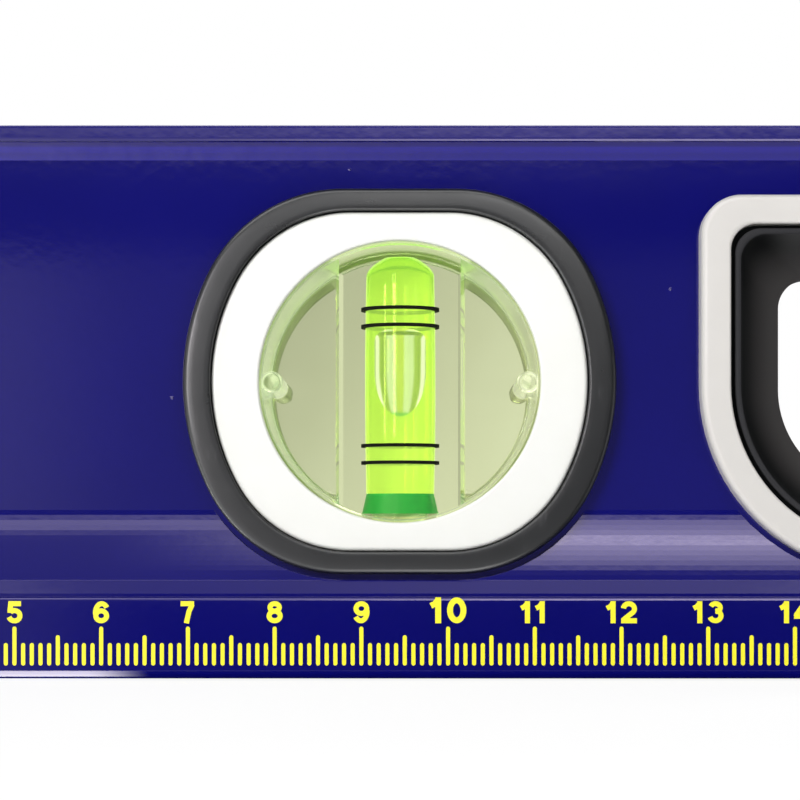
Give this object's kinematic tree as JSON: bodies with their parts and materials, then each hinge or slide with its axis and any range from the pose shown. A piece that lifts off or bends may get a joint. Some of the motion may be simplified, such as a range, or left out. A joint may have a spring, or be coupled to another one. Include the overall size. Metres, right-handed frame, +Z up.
{
  "type": "magnetic spirit level",
  "caption": "Box-beam spirit level with a painted aluminium beam, plumb vials, a top-read level vial, hand grips, end caps and magnets in the measuring base.",
  "frame": {"origin": "middle of the measuring base, on the plane that the level stands on", "axes": "+X along the beam to the right seen from the front, -Y out of the front face, +Z up to the top edge"},
  "size_m": [0.608, 0.025, 0.064],
  "materials": {
    "beam_paint": "gloss",
    "cap_plastic": "satin",
    "bezel_plastic": "satin",
    "white_plastic": "satin",
    "clear_acrylic": "polished",
    "green_liquid": "polished",
    "green_plastic": "satin",
    "ring_black": "matte",
    "pale_plastic": "satin",
    "grip_rubber": "matte",
    "magnet_nickel": "brushed"
  },
  "bodies": {
    "root": {"beam": "beam_paint", "left_end_cap": "cap_plastic", "right_end_cap": "cap_plastic", "left_vial_bezel_front": "bezel_plastic", "left_vial_carrier_front": "white_plastic", "left_vial_bezel_rear": "bezel_plastic", "left_vial_carrier_rear": "white_plastic", "left_vial_block": "clear_acrylic", "left_vial_liquid": "green_liquid", "left_vial_stopper": "green_plastic", "left_gauge_rings": "ring_black", "left_grip_frame_front": "pale_plastic", "left_grip_liner_front": "grip_rubber", "left_grip_frame_rear": "pale_plastic", "left_grip_liner_rear": "grip_rubber", "right_vial_bezel_front": "bezel_plastic", "right_vial_carrier_front": "white_plastic", "right_vial_bezel_rear": "bezel_plastic", "right_vial_carrier_rear": "white_plastic", "right_vial_block": "clear_acrylic", "right_vial_liquid": "green_liquid", "right_vial_stopper": "green_plastic", "right_gauge_rings": "ring_black", "right_grip_frame_front": "pale_plastic", "right_grip_liner_front": "grip_rubber", "right_grip_frame_rear": "pale_plastic", "right_grip_liner_rear": "grip_rubber", "level_vial_bezel_front": "bezel_plastic", "level_vial_carrier_front": "white_plastic", "level_vial_bezel_rear": "bezel_plastic", "level_vial_carrier_rear": "white_plastic", "level_vial_block": "clear_acrylic", "level_vial_liquid": "green_liquid", "level_vial_stopper": "green_plastic", "level_gauge_rings": "ring_black", "magnet_1": "magnet_nickel", "magnet_2": "magnet_nickel", "magnet_3": "magnet_nickel", "magnet_4": "magnet_nickel"}
  },
  "joints": []
}
